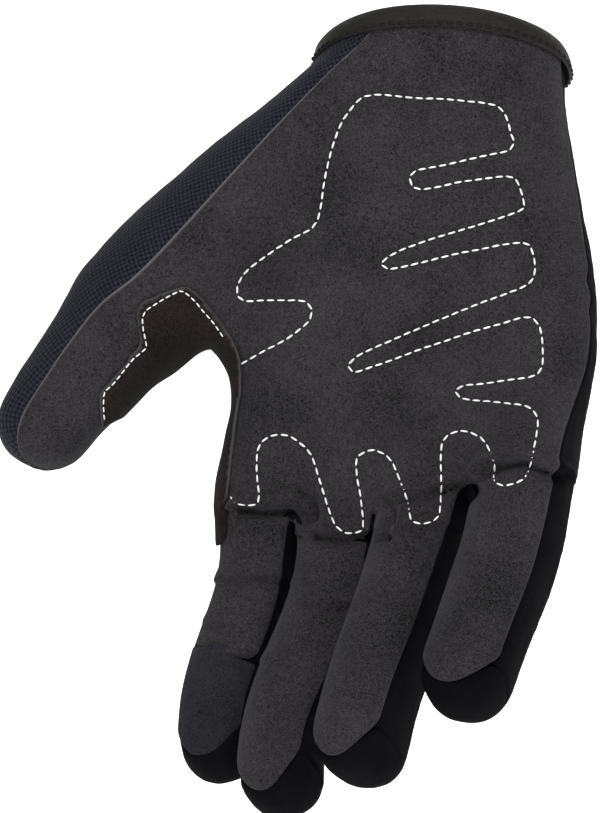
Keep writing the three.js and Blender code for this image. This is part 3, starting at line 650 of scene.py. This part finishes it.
def frontRelief(place, normal, groove):
    # how far the cloth stands out or in at a place that faces the viewer, in mm
    facing = smooth(*relief["facing"], -normal.y)
    if facing <= 0:
        return 0.0
    x, z = seen(place)
    rise = 0.0
    for fold in folds:
        low, high, bottom, top = fold["box"]
        if not (low < x < high and bottom < z < top):
            continue
        distance, side = pathDistance(x, z, fold["path"])
        w = fold["width"]
        rise -= fold["depth"] * math.exp(-((distance / w) ** 2))
        if side > 0:
            away = (side - relief["bulgeAway"] * w) / (relief["bulgeWidth"] * w)
            rise += fold["bulge"] * math.exp(-(away ** 2))
    for pocket in pockets:
        dx = (x - pocket["place"][0]) / pocket["wide"]
        dz = (z - pocket["place"][1]) / pocket["tall"]
        if max(abs(dx), abs(dz)) < relief["pocketReach"]:
            rise -= pocket["depth"] * math.exp(-(dx * dx + dz * dz))
    if groove:
        item = stitches[groove]
        distance = grooveTrees[groove].find((x, 0, z))[2]
        rise -= item["groove"] * math.exp(-((distance / item["width"]) ** 2))
        if distance < relief["puckerReach"]:  # small puckers along the sewn line
            scale = relief["puckerScale"]
            pucker = relief["pucker"] * noise.noise(Vector((x * scale, z * scale, 3)))
            rise += pucker * math.exp(-((distance / relief["puckerWidth"]) ** 2))
    return rise * facing


stretchPanel = {"cloth": "stretch", "wall": 1.0, "levels": 3, "wave": 0.3, "waveSize": 9,
                "roll": 0.5, "rollWidth": 1.3}
pleatedPanel = {**stretchPanel, "waveSize": 7, "pleats": 0.5}
panels = {
    "palm_panel": {"name": "suedePalm", "cloth": "suede", "wall": 1.3, "levels": 3, "wave": 0.35,
                   "waveSize": 13, "roll": 0.35, "rollWidth": 1.0, "groove": "palm",
                   "rim": "paleEdge"},
    "back_panel": {"name": "meshBack", "cloth": "mesh", "wall": 1.6, "levels": 3, "wave": 0.45,
                   "waveSize": 17, "roll": 0.7, "rollWidth": 1.8},
    "side_panel": {"name": "littleSideStrip", **stretchPanel, "wave": 0.4, "waveSize": 11,
                   "roll": 0.6, "rollWidth": 1.4},
    "index_touch_tip": {"name": "indexTouchTip", "cloth": "touch", "wall": 1.3, "levels": 3,
                        "wave": 0.2, "waveSize": 8, "roll": 0.12, "rollWidth": 1.1},
    "finger_back_index": {"name": "indexBack", **stretchPanel},
    "finger_back_middle": {"name": "middleBack", **stretchPanel},
    "finger_back_ring": {"name": "ringBack", **stretchPanel},
    "finger_back_little": {"name": "littleBack", **stretchPanel},
    "fourchette_index": {"name": "indexFourchette", **pleatedPanel},
    "fourchette_middle": {"name": "middleFourchette", **pleatedPanel},
    "fourchette_ring": {"name": "ringFourchette", **pleatedPanel},
}
fineWave = 0.35  # of the slow wave, in height and in size
gather = {"height": 0.14, "scale": 0.55, "away": 2.2, "width": 1.6}  # beside each seam
pleat = {"turn": 1.9, "sway": 1.2, "swaySize": 6, "from": (-150, -122), "edge": (0.6, 2.5),
         "patches": (-0.9, 0.2), "patchSize": 9}
fingerEnds = {"below": -171, "rounds": 14}
seamAllowance = {"reach": 1.7, "depth": 1.6}


def shapeCloth(bm, setup):
    # slow waves, seams turned in, cloth gathered beside them, pleats and folds
    bm.normal_update()
    distances = edgeDistance(bm)
    moves = []
    for v, distance in zip(bm.verts, distances):
        place = v.co / mm
        wave, size = setup["wave"], setup["waveSize"]
        rise = wave * noise.noise(place / size) * smooth(0.5, 5, distance)
        ripple = fineWave * wave * noise.noise(place / (fineWave * size))
        rise += ripple * smooth(0.5, 4, distance)
        rise -= setup["roll"] * (1 - smooth(0, setup["rollWidth"], distance))
        away = (distance - gather["away"]) / gather["width"]
        rise += gather["height"] * noise.noise(place * gather["scale"]) * math.exp(-(away ** 2))
        if setup.get("pleats"):
            sway = pleat["sway"] * noise.noise(place / pleat["swaySize"])
            rise += (setup["pleats"] * math.sin(place.z * pleat["turn"] + sway)
                     * smooth(*pleat["from"], place.z) * smooth(*pleat["edge"], distance)
                     * smooth(*pleat["patches"], noise.noise(place / pleat["patchSize"])))
        rise += frontRelief(v.co, v.normal, setup.get("groove"))
        moves.append(v.normal * rise * mm)
    for v, move in zip(bm.verts, moves):
        v.co += move


def roundEnds(bm, below, rounds):
    # the suede's ends over the fingertips are cut round
    near = [v for v in bm.verts if v.co.z < below * mm]
    for _ in range(rounds):
        moved = []
        for v in near:
            edges = [e for e in v.link_edges if e.is_boundary or not v.is_boundary]
            middle = sum((e.other_vert(v).co for e in edges), Vector()) / len(edges)
            moved.append(v.co.lerp(middle, 0.5))
        for v, co in zip(near, moved):
            v.co = co


def tuckEdges(bm, reach, depth):
    # seam allowance: the edge goes on under the panels beside it
    rim = [edge for edge in bm.edges if edge.is_boundary]
    away = {}
    for edge in rim:
        face = edge.link_faces[0]
        a, b = edge.verts
        out = (b.co - a.co).cross(face.normal).normalized()
        if out.dot(face.calc_center_median() - (a.co + b.co) / 2) > 0:
            out = -out
        for v in (a, b):
            entry = away.setdefault(v, [Vector(), v.normal.copy()])
            entry[0] += out
    grown = bmesh.ops.extrude_edge_only(bm, edges=rim)["geom"]
    for v in only(bmesh.types.BMVert, grown):
        source = next(e.other_vert(v) for e in v.link_edges if e.other_vert(v) in away)
        out, normal = away[source]
        v.co += (out.normalized() * reach - normal * depth) * mm
    bmesh.ops.recalc_face_normals(bm, faces=bm.faces)


# the seam between suede and mesh, as seen from the palm, where the suede's pale cut edge shows
cutSeam = [(-21.8, 4.0), (-28.6, -8.2), (-41.5, -20.1), (-60.9, -40.6), (-82.9, -63.2),
           (-102.0, -83.5), (-115.7, -105.1), (-122.9, -116.9)]
paleEdgeFade = (3, 7)  # mm from the path


# a pale line along a piece's border near a path: on the palm's seam the suede's real cut edge, on
# the thumb patch a painted highlight
def markPaleEdge(piece, path, strength):
    bm = bmesh.new()
    bm.from_mesh(piece.data)
    rim = {v.index for v in bm.verts if v.is_boundary}
    bm.free()
    mark = piece.data.attributes.new("paleEdge", "FLOAT", "POINT")
    for v in piece.data.vertices:
        if v.index in rim:
            x, z = seen(v.co)
            away = pathDistance(x, z, path)[0]
            mark.data[v.index].value = strength * (1 - smooth(*paleEdgeFade, away))


def thicken(piece, wall, rimSlot=0):
    modifier = piece.modifiers.new("wall", "SOLIDIFY")
    modifier.thickness = wall * mm
    modifier.offset = -1
    modifier.use_rim = True
    modifier.material_offset_rim = rimSlot
    bake(piece)


def makePanel(node, setup):
    bm = outerSkin(node)
    mesh = bpy.data.meshes.new(setup["name"])
    bm.to_mesh(mesh)
    bm.free()
    piece = link(setup["name"], mesh)
    clothMap(piece)
    suede = setup["cloth"] == "suede"
    refined(piece, setup["levels"], "ALL" if suede else "PRESERVE_CORNERS")
    bm = bmesh.new()
    bm.from_mesh(piece.data)
    if suede:
        roundEnds(bm, **fingerEnds)
    shapeCloth(bm, setup)
    if not suede:
        bm.normal_update()
        tuckEdges(bm, **seamAllowance)
    bm.to_mesh(piece.data)
    bm.free()
    if suede:
        markPaleEdge(piece, cutSeam, 1.0)
    piece.data.materials.clear()
    piece.data.materials.append(cloths[setup["cloth"]])
    if setup.get("rim"):
        piece.data.materials.append(cloths[setup["rim"]])
    thicken(piece, setup["wall"], 1 if setup.get("rim") else 0)
    piece.data.shade_smooth()
    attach(piece, "root")
    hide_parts(node)
    return piece


made = {}
for node, setup in panels.items():
    made[node] = makePanel(node, setup)
    print("panel", setup["name"], len(made[node].data.polygons) * 2, "triangles")


# patch over the fork of the thumb
patch = {
    "outline": [
        (-97.0, -110.0), (-98.0, -100.3), (-97.2, -98.3), (-93.5, -94.9), (-88.6, -88.6),
        (-86.3, -85.2), (-87.5, -77.2), (-87.2, -74.6), (-84.4, -72.9), (-79.5, -70.6),
        (-76.0, -69.4), (-73.2, -68.9), (-69.2, -72.3), (-64.1, -78.0), (-60.6, -83.7),
        (-58.6, -89.2), (-58.2, -94.0), (-58.5, -99.5), (-60.0, -107.4), (-61.2, -118.6),
        (-61.8, -124.3), (-62.3, -132.0), (-62.8, -141.0), (-64.8, -143.2), (-75.0, -143.0),
        (-75.0, -100.0), (-90.0, -106.0),
    ],
    "lift": 0.5, "wall": 1.1,
    "weld": 0.6, "near": 9, "leastFaces": 120, "borderRounds": 6,
    "roll": 0.45, "rollWidth": 1.2, "wave": 0.25, "waveSize": 8,
    # the patch's upper and inner border is painted paler: a painted highlight where light catches
    # the turned edge
    "paintedHighlightCorners": 21, "paintedHighlightStrength": 0.35,
}


def insideOutline(x, z, outline):
    inside = False
    for (ax, az), (bx, bz) in zip(outline, outline[1:] + outline[:1]):
        if (az > z) != (bz > z) and x < (bx - ax) * (z - az) / (bz - az) + ax:
            inside = not inside
    return inside


def patchGround():
    # the palm's and the back's outer faces round the fork, sewn into one sheet
    whole = bmesh.new()
    for node in ("palm_panel", "back_panel"):
        skin = outerSkin(node)
        mesh = bpy.data.meshes.new("skin")
        skin.to_mesh(mesh)
        skin.free()
        whole.from_mesh(mesh)
        bpy.data.meshes.remove(mesh)
    rim = [v for v in whole.verts if v.is_boundary]
    bmesh.ops.remove_doubles(whole, verts=rim, dist=patch["weld"] * mm)
    low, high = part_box("thumb_crotch_patch")
    near = patch["near"] * mm
    far = [f for f in whole.faces if any(
        c < a - near or c > b + near for c, a, b in zip(f.calc_center_median(), low, high))]
    bmesh.ops.delete(whole, geom=far, context="FACES")
    mesh = bpy.data.meshes.new("thumbForkPatch")
    whole.to_mesh(mesh)
    whole.free()
    piece = link("thumbForkPatch", mesh)
    refined(piece, 3)
    return piece


def cutToOutline(bm):
    # drops the faces outside the outline, seen where the patch's own outside lies, and the crumbs
    bm.normal_update()
    drop = []
    for f in bm.faces:
        c = f.calc_center_median() + f.normal * (patch["lift"] + patch["wall"]) * mm
        if not insideOutline(*seen(c), patch["outline"]):
            drop.append(f)
    bmesh.ops.delete(bm, geom=drop, context="FACES")
    islands = sheetsOf(bm.faces, lambda edge: True)
    keep = {f for island in islands if len(island) > patch["leastFaces"] for f in island}
    print("patch sheets", sorted(len(island) for island in islands)[-3:])
    bmesh.ops.delete(bm, geom=[f for f in bm.faces if f not in keep], context="FACES")


def evenBorder(bm):
    # evens out the stepped border along itself
    for _ in range(patch["borderRounds"]):
        moved = {}
        for v in bm.verts:
            if v.is_boundary:
                beside = [e.other_vert(v) for e in v.link_edges if e.is_boundary]
                if len(beside) == 2:
                    moved[v] = v.co.lerp((beside[0].co + beside[1].co) / 2, 0.5)
        for v, co in moved.items():
            v.co = co


def makePatch():
    piece = patchGround()
    bm = bmesh.new()
    bm.from_mesh(piece.data)
    cutToOutline(bm)
    evenBorder(bm)
    bm.normal_update()
    distances = edgeDistance(bm)
    moves = []
    for v, distance in zip(bm.verts, distances):
        rise = patch["lift"] + patch["wall"]
        rise -= patch["roll"] * (1 - smooth(0, patch["rollWidth"], distance))
        wave = patch["wave"] * noise.noise(v.co / mm / patch["waveSize"])
        rise += wave * smooth(0.5, 4, distance)
        rise += frontRelief(v.co, v.normal, "patch")
        moves.append(v.normal * rise * mm)
    for v, move in zip(bm.verts, moves):
        v.co += move
    bm.to_mesh(piece.data)
    bm.free()
    # painted highlight: the patch's turned border is made paler where light catches the fold
    markPaleEdge(piece, patch["outline"][:patch["paintedHighlightCorners"]], patch["paintedHighlightStrength"])
    piece.data.materials.clear()
    piece.data.materials.append(cloths["patchSuede"])
    thicken(piece, patch["wall"])
    piece.data.shade_smooth()
    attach(piece, "root")
    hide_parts("thumb_crotch_patch")
    return piece


made["thumb_crotch_patch"] = makePatch()
print("patch", len(made["thumb_crotch_patch"].data.polygons) * 2, "triangles")


# elastic binding of the cuff
binding = {"topSlices": 90, "stitchDown": 5.2, "stitchPitch": 2.7, "stitchLength": 2.1,
           "stitchThick": 0.85, "stitchBand": 0.8, "stitchSlices": 120}


def makeBinding():
    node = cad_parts["cuff_binding"]
    bm = bmesh.new()
    bm.from_mesh(node.data)
    bmesh.ops.remove_doubles(bm, verts=bm.verts, dist=weld * mm)
    joinQuads(bm)
    mesh = bpy.data.meshes.new("elasticBinding")
    bm.to_mesh(mesh)
    bm.free()
    piece = link("elasticBinding", mesh)
    refined(piece, 2)
    mesh = piece.data
    # how far down the tape each point is, from the top edge at its own place round the opening
    slices = binding["topSlices"]
    top = [-1e9] * slices
    for v in mesh.vertices:
        slot = int((math.atan2(v.co.y, v.co.x) / math.tau + 0.5) * slices) % slices
        top[slot] = max(top[slot], v.co.z)
    down = mesh.attributes.new("tapeDown", "FLOAT", "POINT")
    for v in mesh.vertices:
        turn = (math.atan2(v.co.y, v.co.x) / math.tau + 0.5) * slices - 0.5
        a, t = math.floor(turn), turn - math.floor(turn)
        height = top[a % slices] * (1 - t) + top[(a + 1) % slices] * t
        down.data[v.index].value = (height - v.co.z) / mm
    mesh.materials.clear()
    mesh.materials.append(cloths["tape"])
    mesh.shade_smooth()
    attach(piece, "root")
    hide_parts("cuff_binding")
    return piece


made["cuff_binding"] = makeBinding()
print("binding ready")


# stitches
sewing = {"each": 8, "lift": 0.12, "longest": 2.2, "turn": 0.05, "thickness": (0.92, 1.08),
          "bow": 0.22, "flat": 0.8}


def addStitch(bm, middle, along, out, length, thick):
    # one stitch: a low capsule that bows out of the cloth
    side = along.cross(out).normalized()
    out = side.cross(along).normalized()
    ball = bmesh.ops.create_uvsphere(bm, u_segments=6, v_segments=6, radius=0.5)["verts"]
    for v in ball:
        u = v.co.z * 2
        width = max(0.0, 1 - abs(u) ** 3) ** 0.5
        radial = Vector((v.co.x, v.co.y))
        if radial.length > 1e-6:
            radial = radial.normalized() * 0.5 * width
        bow = sewing["bow"] * thick * (1 - u * u)
        v.co = middle + (along * (u * length / 2) + side * (radial.x * thick)
                         + out * (radial.y * thick * sewing["flat"] + bow)) * mm


def surfaceTree(pieces):
    trees = []
    for piece in pieces:
        bm = bmesh.new()
        bm.from_mesh(piece.data)
        trees.append(BVHTree.FromBMesh(bm))
        bm.free()
    return trees


def frontHit(trees, x, z):
    # first cloth that the viewer's line through a place in the picture plane meets
    start = camera.location
    ray = (Vector((x * mm, 0, z * mm)) - start).normalized()
    best = None
    for tree in trees:
        hit = tree.ray_cast(start, ray)
        if hit[0] is not None and (best is None or hit[3] < best[2]):
            best = (hit[0], hit[1], hit[3])
    return best


def makeStitches(name, item, pieces, thread):
    trees = surfaceTree(pieces)
    each = sewing["each"]  # steps of the path to a stitch
    points = rounded(item["path"], item["pitch"] / each)
    bm = bmesh.new()
    reach = max(1, round(item["length"] / item["pitch"] * each))
    count = 0
    for i in range(0, len(points) - reach, each):
        a, b = points[i], points[i + reach]
        first, last = frontHit(trees, a.x, a.y), frontHit(trees, b.x, b.y)
        if not first or not last:
            continue
        along = last[0] - first[0]
        if along.length > sewing["longest"] * item["length"] * mm:
            continue
        out = (first[1] + last[1]).normalized()
        middle = (first[0] + last[0]) / 2 + out * sewing["lift"] * mm
        stray = Vector((random.uniform(-1, 1), 0, random.uniform(-1, 1)))
        turned = (along.normalized() + sewing["turn"] * stray).normalized()
        thick = item["thick"] * random.uniform(*sewing["thickness"])
        addStitch(bm, middle, turned, out, along.length / mm, thick)
        count += 1
    bm.normal_update()
    mesh = bpy.data.meshes.new(name)
    bm.to_mesh(mesh)
    bm.free()
    mesh.materials.append(cloths[thread])
    mesh.shade_smooth()
    piece = link(name, mesh)
    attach(piece, "root")
    print(name, count, "stitches")
    return piece


makeStitches("palmStitches", stitches["palm"], [made["palm_panel"]], "whiteThread")
makeStitches("patchStitches", stitches["patch"], [made["thumb_crotch_patch"]], "whiteThread")


def bindingStitches():
    tree = surfaceTree([made["cuff_binding"]])[0]
    mesh = made["cuff_binding"].data
    values = [d.value for d in mesh.attributes["tapeDown"].data]
    low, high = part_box("cuff_binding")
    centre = (low + high) / 2
    bm = bmesh.new()
    ringPoints, slices = {}, binding["stitchSlices"]
    for v, value in zip(mesh.vertices, values):
        if abs(value - binding["stitchDown"]) < binding["stitchBand"]:
            turn = math.atan2(v.co.y - centre.y, v.co.x - centre.x)
            slot = int((turn / math.tau + 0.5) * slices) % slices
            radius = math.hypot(v.co.x - centre.x, v.co.y - centre.y)
            if slot not in ringPoints or radius > ringPoints[slot][0]:
                ringPoints[slot] = (radius, v.co.copy(), value)
    curve = []
    for _, (_, co, value) in sorted(ringPoints.items()):
        curve.append(co + Vector((0, 0, (value - binding["stitchDown"]) * mm)))
    curve.append(curve[0])
    fine = []
    for a, b in zip(curve, curve[1:]):
        for j in range(10):
            fine.append(a.lerp(b, j / 10))
    marks, walked = [fine[0]], 0.0
    for a, b in zip(fine, fine[1:]):
        walked += (b - a).length
        if walked >= binding["stitchPitch"] * mm:
            marks.append(b)
            walked = 0.0
    for a, b in zip(marks, marks[1:]):
        along = (b - a).normalized()
        middle = (a + b) / 2
        away = Vector((middle.x - centre.x, middle.y - centre.y, 0)).normalized()
        hit = tree.ray_cast(middle + away * 8 * mm, -away)
        if hit[0] is None:
            continue
        place = hit[0] + hit[1] * 0.05 * mm
        addStitch(bm, place, along, hit[1], binding["stitchLength"], binding["stitchThick"])
    out = bpy.data.meshes.new("bindingStitches")
    bm.to_mesh(out)
    bm.free()
    out.materials.append(cloths["blackThread"])
    out.shade_smooth()
    piece = link("bindingStitches", out)
    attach(piece, "root")
    print("bindingStitches", len(marks))


bindingStitches()
